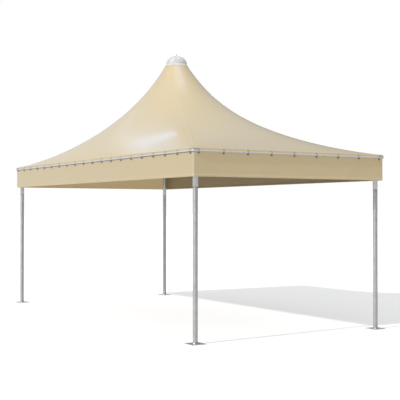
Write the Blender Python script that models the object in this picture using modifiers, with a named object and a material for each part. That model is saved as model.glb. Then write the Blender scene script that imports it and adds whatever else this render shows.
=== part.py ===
"""Marquee tent of nominal 3 x 6 m: a peaked membrane roof on four tube posts.

The origin is on the floor under the peak. +X runs along the long side, +Y across, +Z up.
Sizes are in metres.
"""
import math

import bmesh
import bpy
import numpy as np
from mathutils import Matrix, Vector

# Driving dimensions
POST_SPACING_X = 6.28
POST_SPACING_Y = 3.00
EAVE_ROD_Z = 2.448
VALANCE_LOW_Z = 2.121
CAP_SEAT_Z = 4.073
PEAK_Z = 4.235
PIN_TOP_Z = 4.263

# Steel tubes and plates
POST_RADIUS = 0.03175
POST_WALL = 0.003
PLATE_SIDE = 0.200
PLATE_THICK = 0.008
ANCHOR_RADIUS = 0.007
ANCHOR_INSET = 0.022
SLEEVE_RADIUS = 0.0345
SLEEVE_LOW_Z = 1.990
POST_TOP_DROP = 0.010
BEAM_WIDTH = 0.050
BEAM_HEIGHT = 0.080
BEAM_WALL = 0.003
HEAD_INNER = 0.0424
SPIGOT_LENGTH = 0.120
ROD_RADIUS = 0.0105
ROD_WALL = 0.002
BRACKET_LEG = 0.095
BRACKET_THICK = 0.005
BRACKET_LIFT = 0.004

# Membrane: the solids are thicker than the real coated cloth, so that they can be handled
SKIN = 0.004
MEMBRANE_OUT = 0.0767
EAVE_EDGE_RISE = 0.040
CAP_RADIUS = 0.178
ROUND_FADE = 2.234
OVAL_FADE = 3.517
CORNER_FADE = 1.78
BELLY = 0.205
SPANS_SHORT = 12
SPANS_LONG = 24
RINGS = 14

# Flying mast and its stay cables
MAST_RADIUS = 0.030
MAST_WALL = 0.003
FOOT_LOW_Z = 2.262
FOOT_RADIUS = 0.034
FOOT_HEIGHT = 0.083
FOOT_CHAMFER = 0.012
FOOT_SPIGOT = 0.050
STAY_LOW_Z = 2.292
SOCKET_RADIUS = 0.011
FOOT_SOCKET = 0.078
HEAD_SOCKET = 0.105
TURNBUCKLE_LENGTH = 0.220
TURNBUCKLE_RADIUS = 0.013
TURNBUCKLE_SHOULDER = 0.045
TURNBUCKLE_SLOPE = 0.008
STUD_RADIUS = 0.006
CABLE_RADIUS = 0.004
HOOP_RADIUS = 0.1740
HOOP_HEIGHT = 0.026
HOOP_THICK = 0.006
HUB_WALL = 0.006
SPOKE_WIDTH = 0.030
SPOKE_THICK = 0.006
SPOKE_RISE = 0.004

# Peak cap
CAP_WALL = 0.004
CAP_RIM = 0.018
PIN_BASE_RADIUS = 0.008
PIN_TIP_RADIUS = 0.003
CAP_STEPS = 7

# Clearance between touching pieces, the offset that keeps fused shapes' faces apart, and facet counts
GAP = 0.0003
FUSE_STEP = 0.0005
HOOP_SIDES = 36
ROUND_SIDES = 24
SMALL_SIDES = 12

# Levels and planes that follow from these
HALF_X = POST_SPACING_X / 2
HALF_Y = POST_SPACING_Y / 2
SKIN_X = HALF_X + MEMBRANE_OUT
SKIN_Y = HALF_Y + MEMBRANE_OUT
EAVE_EDGE_Z = EAVE_ROD_Z + EAVE_EDGE_RISE
BEAM_OUTER = MEMBRANE_OUT - SKIN - GAP
BEAM_TOP_Z = EAVE_EDGE_Z - SKIN - 2 * GAP
BEAM_LOW_Z = BEAM_TOP_Z - BEAM_HEIGHT
HEAD_MID_Z = (BEAM_TOP_Z + BEAM_LOW_Z) / 2
SLEEVE_TOP_Z = BEAM_LOW_Z - GAP
POST_TOP_Z = SLEEVE_TOP_Z - POST_TOP_DROP
ROD_OUT = MEMBRANE_OUT + GAP + ROD_RADIUS
MAST_LOW_Z = FOOT_LOW_Z + FOOT_HEIGHT + GAP
HUB_LOW_Z = 3.990
HUB_TOP_Z = 4.052
MAST_TOP_Z = 4.0397

CORNERS = {"front_right": (1, -1), "front_left": (-1, -1), "back_right": (1, 1), "back_left": (-1, 1)}


def clear_scene():
    for item in list(bpy.data.objects):
        bpy.data.objects.remove(item, do_unlink=True)


def new_collection(name):
    group = bpy.data.collections.new(name)
    bpy.context.scene.collection.children.link(group)
    return group


def make_material(name, colour, roughness, metallic):
    finish = bpy.data.materials.new(name)
    finish.use_nodes = True
    shader = finish.node_tree.nodes["Principled BSDF"]
    shader.inputs["Base Color"].default_value = (*colour, 1.0)
    shader.inputs["Roughness"].default_value = roughness
    shader.inputs["Metallic"].default_value = metallic
    finish.diffuse_color = (*colour, 1.0)
    return finish


def add_object(name, shape, finish, group):
    mesh = bpy.data.meshes.new(name)
    shape.to_mesh(mesh)
    shape.free()
    if finish is not None:
        mesh.materials.append(finish)
    item = bpy.data.objects.new(name, mesh)
    group.objects.link(item)
    return item


def as_cutter(item):
    item.hide_render = True
    item.display_type = "WIRE"
    return item


def box_shape(low, high):
    """A box from two opposite corners, given in any order."""
    low, high = Vector(low), Vector(high)
    size = [abs(high[axis] - low[axis]) for axis in range(3)]
    centre = (low + high) / 2
    place = Matrix.Translation(centre) @ Matrix.Diagonal((*size, 1.0))
    shape = bmesh.new()
    bmesh.ops.create_cube(shape, size=1.0, matrix=place)
    return shape


def bar_shape(start, end, radius, sides=SMALL_SIDES):
    """A round bar between two points."""
    start, end = Vector(start), Vector(end)
    along = end - start
    turn = Vector((0, 0, 1)).rotation_difference(along.normalized()).to_matrix().to_4x4()
    place = Matrix.Translation((start + end) / 2) @ turn
    shape = bmesh.new()
    bmesh.ops.create_cone(shape, cap_ends=True, segments=sides, radius1=radius, radius2=radius,
                          depth=along.length, matrix=place)
    return shape


def add_turned(name, profile, finish, group, sides=ROUND_SIDES, closed=False):
    """A shape turned about its own Z axis; the profile holds (radius, height) points, down the outside."""
    shape = bmesh.new()
    points = [shape.verts.new((radius, 0.0, height)) for radius, height in profile]
    pairs = list(zip(points, points[1:]))
    if closed:
        pairs.append((points[-1], points[0]))
    for first, second in pairs:
        shape.edges.new((first, second))
    item = add_object(name, shape, finish, group)
    screw = item.modifiers.new("Turn", "SCREW")
    screw.steps = sides
    screw.render_steps = sides
    screw.use_merge_vertices = True
    screw.merge_threshold = 0.00001
    screw.use_smooth_shade = False
    return item


def tube_profile(outer, wall, low, high):
    return [(outer, high), (outer, low), (outer - wall, low), (outer - wall, high)]


def place_along(item, origin, direction):
    """Set an object's origin, and turn its Z axis along a direction."""
    item.location = Vector(origin)
    item.rotation_euler = Vector((0, 0, 1)).rotation_difference(Vector(direction).normalized()).to_euler()
    return item


def join_shape(item, name, shape, cutters, operation="UNION"):
    """Fuse a shape into an object, or cut it away."""
    tool = as_cutter(add_object(name, shape, None, cutters))
    change = item.modifiers.new(name, "BOOLEAN")
    change.operation = operation
    change.solver = "EXACT"
    change.object = tool
    return item


def eave_outline():
    """Complex points round the eave rectangle, anticlockwise from the middle of the right side."""
    corner = [SKIN_X + 1j * SKIN_Y, -SKIN_X + 1j * SKIN_Y, -SKIN_X - 1j * SKIN_Y, SKIN_X - 1j * SKIN_Y]
    spans = [SPANS_LONG, SPANS_SHORT, SPANS_LONG, SPANS_SHORT]
    points = []
    for index, count in enumerate(spans):
        start, end = corner[index], corner[(index + 1) % 4]
        points += [start + (end - start) * step / count for step in range(count)]
    return np.roll(np.array(points), SPANS_SHORT // 2)


def canopy_ring(outline, climb):
    """One level ring of the membrane, at climb 0 on the eaves and 1 under the cap.

    The eave rectangle is a sum of harmonics. Each one dies out as the ring climbs, the faster the
    finer it is, so that the corners fade and the ring shrinks to the round top, as a soap film does.
    """
    count = len(outline)
    harmonics = np.fft.fft(outline) / count
    order = np.fft.fftfreq(count) * count
    top = np.where(order == 1, CAP_RADIUS, 0.0)
    fade = np.maximum(np.abs(order) * CORNER_FADE, ROUND_FADE)
    fade[order == -1] = OVAL_FADE
    span = np.sinh(fade)
    blend = (harmonics * np.sinh(fade * (1 - climb)) + top * np.sinh(fade * climb)) / span
    ring = np.fft.ifft(blend) * count
    level = EAVE_EDGE_Z + (CAP_SEAT_Z - EAVE_EDGE_Z) * climb * (1 + BELLY * (1 - climb))
    return [(point.real, point.imag, level) for point in ring]


def build_canopy(finish, group):
    """The membrane: lofted rings from the strip behind the eave rod to the round top edge."""
    outline = eave_outline()
    strip = [(point.real, point.imag, EAVE_ROD_Z) for point in outline]
    rings = [strip] + [canopy_ring(outline, step / RINGS) for step in range(RINGS + 1)]
    shape = bmesh.new()
    rows = [[shape.verts.new(point) for point in ring] for ring in rings]
    count = len(outline)
    for lower, upper in zip(rows, rows[1:]):
        for index in range(count):
            following = (index + 1) % count
            shape.faces.new((lower[index], lower[following], upper[following], upper[index]))
    item = add_object("roof_canopy", shape, finish, group)
    shell = item.modifiers.new("Skin", "SOLIDIFY")
    shell.thickness = SKIN
    shell.offset = -1.0
    shell.use_even_offset = True
    return item


def build_valances(finish, group):
    """Four flat bands hanging from the eave rod's height; the side bands fit between the long ones."""
    low, high = VALANCE_LOW_Z, EAVE_ROD_Z - GAP
    inner_x, inner_y = SKIN_X - SKIN, SKIN_Y - SKIN
    side_end = inner_y - GAP
    for name, sign in (("front_valance", -1), ("back_valance", 1)):
        band = box_shape((-SKIN_X, sign * inner_y, low), (SKIN_X, sign * SKIN_Y, high))
        add_object(name, band, finish, group)
    for name, sign in (("left_valance", -1), ("right_valance", 1)):
        band = box_shape((sign * inner_x, -side_end, low), (sign * SKIN_X, side_end, high))
        add_object(name, band, finish, group)


def build_post(corner, finish, group, cutters):
    """A base plate with anchor holes, the post tube on it, and the sleeve over the post's top."""
    x, y = CORNERS[corner][0] * HALF_X, CORNERS[corner][1] * HALF_Y
    half = PLATE_SIDE / 2
    plate = add_object(f"base_plate_{corner}",
                       box_shape((x - half, y - half, 0), (x + half, y + half, PLATE_THICK)), finish, group)
    hole = half - ANCHOR_INSET
    for number, (side_x, side_y) in enumerate(CORNERS.values()):
        drill_x, drill_y = x + side_x * hole, y + side_y * hole
        drill = bar_shape((drill_x, drill_y, -PLATE_THICK), (drill_x, drill_y, 2 * PLATE_THICK), ANCHOR_RADIUS)
        join_shape(plate, f"anchor_hole_{corner}_{number}", drill, cutters, "DIFFERENCE")
    post_profile = tube_profile(POST_RADIUS, POST_WALL, PLATE_THICK + GAP, POST_TOP_Z)
    post = add_turned(f"post_{corner}", post_profile, finish, group, closed=True)
    sleeve_wall = SLEEVE_RADIUS - POST_RADIUS - GAP
    sleeve_profile = tube_profile(SLEEVE_RADIUS, sleeve_wall, SLEEVE_LOW_Z, SLEEVE_TOP_Z)
    sleeve = add_turned(f"post_sleeve_{corner}", sleeve_profile, finish, group, closed=True)
    post.location = (x, y, 0)
    sleeve.location = (x, y, 0)


def stay_line(corner):
    """The stay's start inside the mast foot, its unit direction, and its length to the corner head."""
    side_x, side_y = CORNERS[corner]
    low = Vector((0, 0, STAY_LOW_Z))
    high = Vector((side_x * HALF_X, side_y * HALF_Y, HEAD_MID_Z))
    along = high - low
    return low, along.normalized(), along.length


def build_corner_head(corner, finish, group, cutters):
    """The steel block on the post, with a spigot into each beam and a socket for the stay."""
    side_x, side_y = CORNERS[corner]
    x, y = side_x * HALF_X, side_y * HALF_Y
    block = box_shape((x - side_x * HEAD_INNER, y - side_y * HEAD_INNER, BEAM_LOW_Z),
                      (x + side_x * BEAM_OUTER, y + side_y * BEAM_OUTER, BEAM_TOP_Z))
    head = add_object(f"corner_head_{corner}", block, finish, group)
    near, far = BEAM_OUTER - BEAM_WALL - GAP, BEAM_OUTER - BEAM_WIDTH + BEAM_WALL + GAP
    low, high = BEAM_LOW_Z + BEAM_WALL + GAP, BEAM_TOP_Z - BEAM_WALL - GAP
    reach = HEAD_INNER + SPIGOT_LENGTH
    spigot_x = box_shape((x, y + side_y * near, low), (x - side_x * reach, y + side_y * far, high))
    spigot_y = box_shape((x + side_x * near, y, low), (x + side_x * far, y - side_y * reach, high))
    join_shape(head, f"spigot_long_{corner}", spigot_x, cutters)
    join_shape(head, f"spigot_short_{corner}", spigot_y, cutters)
    start, along, length = stay_line(corner)
    socket = bar_shape(start + along * (length - HEAD_SOCKET), start + along * length, SOCKET_RADIUS)
    join_shape(head, f"stay_socket_{corner}", socket, cutters)


def build_beam(name, axis, sign, finish, group, cutters):
    """A rectangular tube between two corner heads, along X (axis 0) or Y (axis 1)."""
    half = (HALF_X, HALF_Y)
    across = 1 - axis
    end = half[axis] - HEAD_INNER - GAP
    outer = half[across] + BEAM_OUTER
    inner = outer - BEAM_WIDTH

    def corner_point(along, side, level):
        point = [0.0, 0.0, level]
        point[axis] = along
        point[across] = sign * side
        return point

    block = box_shape(corner_point(-end, inner, BEAM_LOW_Z), corner_point(end, outer, BEAM_TOP_Z))
    beam = add_object(name, block, finish, group)
    past = end + BEAM_WIDTH
    bore = box_shape(corner_point(-past, inner + BEAM_WALL, BEAM_LOW_Z + BEAM_WALL),
                     corner_point(past, outer - BEAM_WALL, BEAM_TOP_Z - BEAM_WALL))
    join_shape(beam, f"{name}_bore", bore, cutters, "DIFFERENCE")


def build_rod(name, axis, sign, finish, group):
    """The round tube that holds the membrane against a beam, between two corner brackets."""
    half = (HALF_X, HALF_Y)
    end = half[axis] + MEMBRANE_OUT - BRACKET_LEG - GAP
    profile = tube_profile(ROD_RADIUS, ROD_WALL, -end, end)
    rod = add_turned(name, profile, finish, group, SMALL_SIDES, closed=True)
    centre = [0.0, 0.0, EAVE_ROD_Z]
    centre[1 - axis] = sign * (half[1 - axis] + ROD_OUT)
    direction = (1, 0, 0) if axis == 0 else (0, 1, 0)
    place_along(rod, centre, direction)


def mitred_bar(start, bend, end, radius, sides=SMALL_SIDES):
    """A round bar that turns sharply at a bend, with its section on the mitre there."""
    start, bend, end = Vector(start), Vector(bend), Vector(end)
    before, after = (bend - start).normalized(), (end - bend).normalized()
    up = before.cross(after).normalized()
    side_before, side_after = before.cross(up), after.cross(up)
    stations = [(start, side_before), (bend, side_before + side_after), (end, side_after)]
    shape = bmesh.new()
    rings = []
    for centre, side in stations:
        turns = [2 * math.pi * index / sides for index in range(sides)]
        rings.append([shape.verts.new(centre + radius * (side * math.cos(turn) + up * math.sin(turn)))
                      for turn in turns])
    for lower, upper in zip(rings, rings[1:]):
        for index in range(sides):
            following = (index + 1) % sides
            shape.faces.new((lower[index], lower[following], upper[following], upper[index]))
    shape.faces.new(rings[0])
    shape.faces.new(reversed(rings[-1]))
    bmesh.ops.recalc_face_normals(shape, faces=shape.faces)
    return shape


def build_rod_corner(corner, finish, group, cutters):
    """The mitred rod corner with the angle plate that clamps the membrane above it."""
    side_x, side_y = CORNERS[corner]
    face_x, face_y = SKIN_X + GAP, SKIN_Y + GAP
    low, high = EAVE_ROD_Z + BRACKET_LIFT, EAVE_EDGE_Z
    leg_x, leg_y = SKIN_X - BRACKET_LEG, SKIN_Y - BRACKET_LEG
    first = box_shape((side_x * leg_x, side_y * face_y, low),
                      (side_x * (face_x + BRACKET_THICK), side_y * (face_y + BRACKET_THICK), high))
    bracket = add_object(f"rod_corner_{corner}", first, finish, group)
    outer_x, middle_y = face_x + BRACKET_THICK - FUSE_STEP, face_y + BRACKET_THICK / 2
    second = box_shape((side_x * face_x, side_y * leg_y, low + FUSE_STEP),
                       (side_x * outer_x, side_y * middle_y, high - FUSE_STEP))
    join_shape(bracket, f"angle_leg_{corner}", second, cutters)
    bend_x, bend_y = side_x * (HALF_X + ROD_OUT), side_y * (HALF_Y + ROD_OUT)
    bar = mitred_bar((side_x * leg_x, bend_y, EAVE_ROD_Z), (bend_x, bend_y, EAVE_ROD_Z),
                     (bend_x, side_y * leg_y, EAVE_ROD_Z), ROD_RADIUS)
    join_shape(bracket, f"rod_bend_{corner}", bar, cutters)


def build_stay(corner, finish, group):
    """A wire stay from the mast foot, and the turnbuckle that tightens it at the corner head."""
    start, along, length = stay_line(corner)
    screw_start = length - HEAD_SOCKET - GAP - TURNBUCKLE_LENGTH
    cable_start, cable_end = start + along * (FOOT_SOCKET + GAP), start + along * (screw_start - GAP)
    cable = bar_shape(cable_start, cable_end, CABLE_RADIUS)
    add_object(f"stay_cable_{corner}", cable, finish, group)
    end, shoulder = TURNBUCKLE_LENGTH, TURNBUCKLE_SHOULDER
    body_low, body_high = shoulder + TURNBUCKLE_SLOPE, end - shoulder - TURNBUCKLE_SLOPE
    profile = [(0, end), (STUD_RADIUS, end), (STUD_RADIUS, end - shoulder), (TURNBUCKLE_RADIUS, body_high),
               (TURNBUCKLE_RADIUS, body_low), (STUD_RADIUS, shoulder), (STUD_RADIUS, 0), (0, 0)]
    screw = add_turned(f"turnbuckle_{corner}", profile, finish, group, SMALL_SIDES)
    place_along(screw, start + along * screw_start, along)


def build_mast(finish, group, cutters):
    """The flying mast, its foot with four stay sockets, and the hoop that spreads the membrane's top."""
    mast_profile = tube_profile(MAST_RADIUS, MAST_WALL, MAST_LOW_Z, MAST_TOP_Z)
    add_turned("mast", mast_profile, finish, group, closed=True)
    shoulder = FOOT_LOW_Z + FOOT_HEIGHT
    spigot, spigot_top = MAST_RADIUS - MAST_WALL - GAP, shoulder + FOOT_SPIGOT
    foot_profile = [(0, spigot_top), (spigot, spigot_top), (spigot, shoulder), (FOOT_RADIUS, shoulder),
                    (FOOT_RADIUS, FOOT_LOW_Z + FOOT_CHAMFER), (FOOT_RADIUS - FOOT_CHAMFER, FOOT_LOW_Z),
                    (0, FOOT_LOW_Z)]
    foot = add_turned("mast_foot", foot_profile, finish, group)
    for corner in CORNERS:
        start, along, _ = stay_line(corner)
        inside = FOOT_RADIUS / 2
        socket = bar_shape(start + along * inside, start + along * FOOT_SOCKET, SOCKET_RADIUS)
        join_shape(foot, f"foot_socket_{corner}", socket, cutters)
    build_top_hoop(finish, group, cutters)


def build_top_hoop(finish, group, cutters):
    """A hub on the mast's top with four flat spokes and the hoop inside the membrane's top edge."""
    bore = MAST_RADIUS + GAP
    hub = bore + HUB_WALL
    hub_profile = [(0, HUB_TOP_Z), (hub, HUB_TOP_Z), (hub, HUB_LOW_Z),
                   (bore, HUB_LOW_Z), (bore, MAST_TOP_Z + GAP), (0, MAST_TOP_Z + GAP)]
    hoop = add_turned("top_hoop", hub_profile, finish, group)
    hoop_top = CAP_SEAT_Z - SKIN
    spoke_half, spoke_low = SPOKE_WIDTH / 2, hoop_top - HOOP_HEIGHT + SPOKE_RISE
    spoke_high = spoke_low + SPOKE_THICK
    reach = HOOP_RADIUS - HOOP_THICK / 2
    for name, spoke in (("spokes_long", (reach, spoke_half)), ("spokes_short", (spoke_half, reach))):
        bar = box_shape((-spoke[0], -spoke[1], spoke_low), (spoke[0], spoke[1], spoke_high))
        join_shape(hoop, name, bar, cutters)
    band = add_turned("hoop_band", tube_profile(HOOP_RADIUS, HOOP_THICK, hoop_top - HOOP_HEIGHT, hoop_top),
                      None, cutters, HOOP_SIDES, closed=True)
    as_cutter(band)
    change = hoop.modifiers.new("hoop_band", "BOOLEAN")
    change.operation = "UNION"
    change.solver = "EXACT"
    change.object = band


def build_cap(finish, group):
    """The domed peak cap, a thin turned shell with its pin, resting on the membrane's top edge."""
    rim_low, rim_high = CAP_SEAT_Z + GAP, CAP_SEAT_Z + CAP_RIM
    rise = PEAK_Z - rim_high
    start = math.asin(PIN_BASE_RADIUS / CAP_RADIUS)
    angles = [start + (math.pi / 2 - start) * step / CAP_STEPS for step in range(CAP_STEPS + 1)]
    outer = [(CAP_RADIUS * math.sin(angle), rim_high + rise * math.cos(angle)) for angle in angles]
    inner_radius, inner_rise = CAP_RADIUS - CAP_WALL, rise - CAP_WALL
    inner = [(inner_radius * math.sin(angle), rim_high + inner_rise * math.cos(angle)) for angle in angles[1:]]
    profile = [(0, PIN_TOP_Z), (PIN_TIP_RADIUS, PIN_TOP_Z), *outer, (CAP_RADIUS, rim_low),
               (inner_radius, rim_low), *reversed(inner), (0, rim_high + inner_rise)]
    add_turned("peak_cap", profile, finish, group)


def main():
    clear_scene()
    tent = new_collection("marquee_tent")
    cutters = new_collection("cutters")
    galvanised = make_material("galvanised_steel", (0.62, 0.63, 0.63), 0.42, 0.85)
    rod_metal = make_material("rod_aluminium", (0.72, 0.74, 0.75), 0.35, 0.8)
    cable_steel = make_material("cable_steel", (0.45, 0.46, 0.47), 0.35, 0.95)
    membrane = make_material("membrane_cloth", (0.68, 0.57, 0.37), 0.45, 0.0)
    cap_plastic = make_material("cap_plastic", (0.80, 0.79, 0.77), 0.35, 0.0)

    build_canopy(membrane, tent)
    build_valances(membrane, tent)
    build_beam("front_beam", 0, -1, galvanised, tent, cutters)
    build_beam("back_beam", 0, 1, galvanised, tent, cutters)
    build_beam("left_beam", 1, -1, galvanised, tent, cutters)
    build_beam("right_beam", 1, 1, galvanised, tent, cutters)
    build_rod("front_rod", 0, -1, rod_metal, tent)
    build_rod("back_rod", 0, 1, rod_metal, tent)
    build_rod("left_rod", 1, -1, rod_metal, tent)
    build_rod("right_rod", 1, 1, rod_metal, tent)
    for corner in CORNERS:
        build_post(corner, galvanised, tent, cutters)
        build_corner_head(corner, galvanised, tent, cutters)
        build_rod_corner(corner, rod_metal, tent, cutters)
        build_stay(corner, cable_steel, tent)
    build_mast(galvanised, tent, cutters)
    build_cap(cap_plastic, tent)


main()
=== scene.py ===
"""Marquee tent: fine shapes and finishes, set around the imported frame.

The origin is on the floor under the peak. +X runs along the long side, +Y across, +Z up.
Sizes are in metres.
"""
import math

import bmesh
import bpy
import numpy as np
from mathutils import Matrix, Vector


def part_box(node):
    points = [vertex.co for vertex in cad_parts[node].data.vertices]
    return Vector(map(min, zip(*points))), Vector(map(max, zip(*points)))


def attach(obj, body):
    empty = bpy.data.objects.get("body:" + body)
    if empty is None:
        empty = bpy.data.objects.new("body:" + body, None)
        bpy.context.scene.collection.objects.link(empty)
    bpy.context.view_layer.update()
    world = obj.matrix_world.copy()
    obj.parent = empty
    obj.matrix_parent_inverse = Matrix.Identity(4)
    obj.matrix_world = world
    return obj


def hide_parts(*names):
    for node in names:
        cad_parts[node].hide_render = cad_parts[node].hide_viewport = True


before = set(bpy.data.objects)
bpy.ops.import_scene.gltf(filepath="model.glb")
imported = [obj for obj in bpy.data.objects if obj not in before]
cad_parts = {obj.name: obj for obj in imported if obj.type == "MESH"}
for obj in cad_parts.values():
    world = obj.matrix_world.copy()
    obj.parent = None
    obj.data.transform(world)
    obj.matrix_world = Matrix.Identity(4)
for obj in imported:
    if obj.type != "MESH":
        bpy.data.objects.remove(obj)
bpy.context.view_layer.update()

bl_info = {
    "name": "Marquee Tent",
    "version": (1, 0, 0),
    "blender": (4, 5, 0),
    "location": "3D View > Sidebar > Tent",
    "description": "Builds a peaked marquee tent with a membrane roof on four tube posts",
    "category": "Object",
}

BODY = "root"
UP = Vector((0, 0, 1))
WHITE = (1.0, 1.0, 1.0, 1.0)

# Low and high corners of the frame's boxes
POST_LOW, POST_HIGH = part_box("post_front_right")
SLEEVE_LOW, SLEEVE_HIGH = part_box("post_sleeve_front_right")
VALANCE_LOW, VALANCE_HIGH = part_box("front_valance")
BEAM_LOW, BEAM_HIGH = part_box("front_beam")
ROD_LOW, ROD_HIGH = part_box("front_rod")
MAST_LOW, MAST_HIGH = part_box("mast")
FOOT_LOW, FOOT_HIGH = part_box("mast_foot")
HOOP_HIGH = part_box("top_hoop")[1]
PLATE_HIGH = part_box("base_plate_front_right")[1]
CAP_LOW, CAP_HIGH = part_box("peak_cap")

# Places and sizes that those boxes give
HALF_X = (POST_LOW.x + POST_HIGH.x) / 2
HALF_Y = -(POST_LOW.y + POST_HIGH.y) / 2
POST_RADIUS = (POST_HIGH.x - POST_LOW.x) / 2
SLEEVE_RADIUS = (SLEEVE_HIGH.x - SLEEVE_LOW.x) / 2
PLATE_HALF = PLATE_HIGH.x - HALF_X
PLATE_THICK = PLATE_HIGH.z
SKIN_X, SKIN_Y = VALANCE_HIGH.x, -VALANCE_LOW.y
BEAM_OUTER = -BEAM_LOW.y - HALF_Y
BEAM_WIDTH = BEAM_HIGH.y - BEAM_LOW.y
ROD_Z = (ROD_LOW.z + ROD_HIGH.z) / 2
ROD_RADIUS = (ROD_HIGH.z - ROD_LOW.z) / 2
ROD_OUT = -(ROD_LOW.y + ROD_HIGH.y) / 2 - HALF_Y
EAVE_EDGE_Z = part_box("rod_corner_front_right")[1].z
CAP_SEAT_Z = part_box("roof_canopy")[1].z
CAP_RADIUS = CAP_HIGH.x
MAST_RADIUS = MAST_HIGH.x
HOOP_RADIUS = HOOP_HIGH.x

# Sizes that the frame's solids share with these pieces
GAP = 0.0003
TUBE_WALL = 0.003
CAP_RIM = 0.018
PIN_HEIGHT = 0.028
FOOT_HEIGHT = 0.083
FOOT_RADIUS = 0.034
FOOT_SOCKET = 0.078
HEAD_SOCKET = 0.105
HEAD_INNER = 0.0424
SOCKET_RADIUS = 0.011
STAY_LOW_Z = 2.292
CABLE_RADIUS = 0.004
TURNBUCKLE_LENGTH = 0.220
TURNBUCKLE_RADIUS = 0.013
HUB_RADIUS = 0.0363
HUB_LOW_Z = 3.990
HUB_TOP_Z = 4.052
HOOP_HEIGHT = 0.026
HOOP_THICK = 0.006
SPOKE_WIDTH = 0.030
SPOKE_THICK = 0.006
SPOKE_RISE = 0.004
BRACKET_LEG = 0.095
BRACKET_THICK = 0.005

# The way the membrane's rings shrink from the eave rectangle to the round top
ROUND_FADE = 2.234
OVAL_FADE = 3.517
CORNER_FADE = 1.78
BELLY = 0.205
SPANS_LONG = 144
SPANS_SHORT = 72

# Bolt heads as width across the flats and height
PLATE_BOLT = (0.010, 0.004)
CLIP_BOLT = (0.011, 0.0045)
FRAME_BOLT = (0.013, 0.0055)
PIN_NUT = (0.017, 0.006)

CORNERS = {"front_right": (1, -1), "front_left": (-1, -1), "back_right": (1, 1), "back_left": (-1, 1)}
# The axis that each side runs along, and the sign of its outward direction on the other axis
SIDES = {"front": (0, -1), "back": (0, 1), "left": (1, -1), "right": (1, 1)}


def metres(name, description, default, low, high):
    """A length that a user can change."""
    return bpy.props.FloatProperty(name=name, description=description, default=default, min=low, max=high,
                                   precision=4, unit="LENGTH")


def number(name, description, default, low, high):
    """A number of like parts that a user can change."""
    return bpy.props.IntProperty(name=name, description=description, default=default, min=low, max=high)


def paint(name, description, default):
    """A finish's colour that a user can change."""
    return bpy.props.FloatVectorProperty(name=name, description=description, default=default, min=0, max=1,
                                         subtype="COLOR")


class TentSizes(bpy.types.PropertyGroup):
    """Sizes of the cloth and of the small parts."""

    cloth_thickness: metres("Cloth thickness", "Thickness of the coated cloth", 0.001, 0.0005, 0.004)
    keder_thickness: metres("Clamped edge", "Thickness of the folded edge", 0.0036, 0.001, 0.006)
    hem_width: metres("Hem width", "Height of the welded hem along the valances", 0.024, 0.01, 0.06)
    valance_return: metres("Valance return", "Length of a long valance round the corner", 0.039, 0.02, 0.2)
    clips_long: number("Clips, long side", "Rod clips along each long side", 20, 4, 40)
    clips_short: number("Clips, short side", "Rod clips along each short side", 9, 3, 20)
    pitch_long: metres("Pitch, long side", "Distance between clips on the long sides", 0.332, 0.1, 1.0)
    pitch_short: metres("Pitch, short side", "Distance between clips on the short sides", 0.375, 0.1, 1.0)
    cap_gores: number("Cap gores", "Number of shallow ribs round the peak cap", 12, 4, 24)


class TentColours(bpy.types.PropertyGroup):
    """Base colours of the finishes, as linear values."""

    membrane: paint("Membrane", "Colour of the coated cloth", (0.334, 0.270, 0.161))
    # Darker, warmer cloth colour for the inner faces: painted shade and warm bounce light inside the tent
    shaded_inside: paint("Underside", "Colour of the cloth's shaded inner side", (0.326, 0.250, 0.134))
    # Paler, greyer cloth colour for the valances' rounded corners: a painted highlight that stands for the
    # sky's reflection there
    corner_sheen_colour: paint("Sheen fold", "Colour of the cloth on highlighted corner folds", (0.305, 0.288, 0.220))
    galvanised: paint("Galvanised steel", "Colour of posts, plates and heads", (0.395, 0.397, 0.401))
    rod: paint("Rod aluminium", "Colour of the eave rods", (0.49, 0.495, 0.50))
    beam: paint("Beam aluminium", "Colour of the eave beams", (0.55, 0.56, 0.57))
    fitting: paint("Fittings", "Colour of clips, corner brackets and the cap's pin", (0.36, 0.345, 0.315))
    cable: paint("Cable steel", "Colour of the stay cables and turnbuckles", (0.40, 0.41, 0.42))
    cap: paint("Cap", "Colour of the moulded peak cap", (0.412, 0.409, 0.401))
    knob: paint("Knobs", "Colour of the clip knobs and rubber seals", (0.090, 0.076, 0.058))
    floor: paint("Floor", "Colour of the studio floor, which also glows", (0.47, 0.47, 0.47))


class Wire:
    """A shader socket that takes part in Python expressions; each operator adds a Math node."""

    def __init__(self, graph, socket):
        self.graph = graph
        self.socket = socket

    def maths(self, operation, *values):
        return self.graph.node("ShaderNodeMath", {"operation": operation}, values)

    def __add__(self, other):
        return self.maths("ADD", self, other)

    __radd__ = __add__

    def __sub__(self, other):
        return self.maths("SUBTRACT", self, other)

    def __rsub__(self, other):
        return self.maths("SUBTRACT", other, self)

    def __mul__(self, other):
        return self.maths("MULTIPLY", self, other)

    __rmul__ = __mul__

    def __abs__(self):
        return self.maths("ABSOLUTE", self)

    def __gt__(self, other):
        return self.maths("GREATER_THAN", self, other)

    def __lt__(self, other):
        return self.maths("LESS_THAN", self, other)


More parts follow.
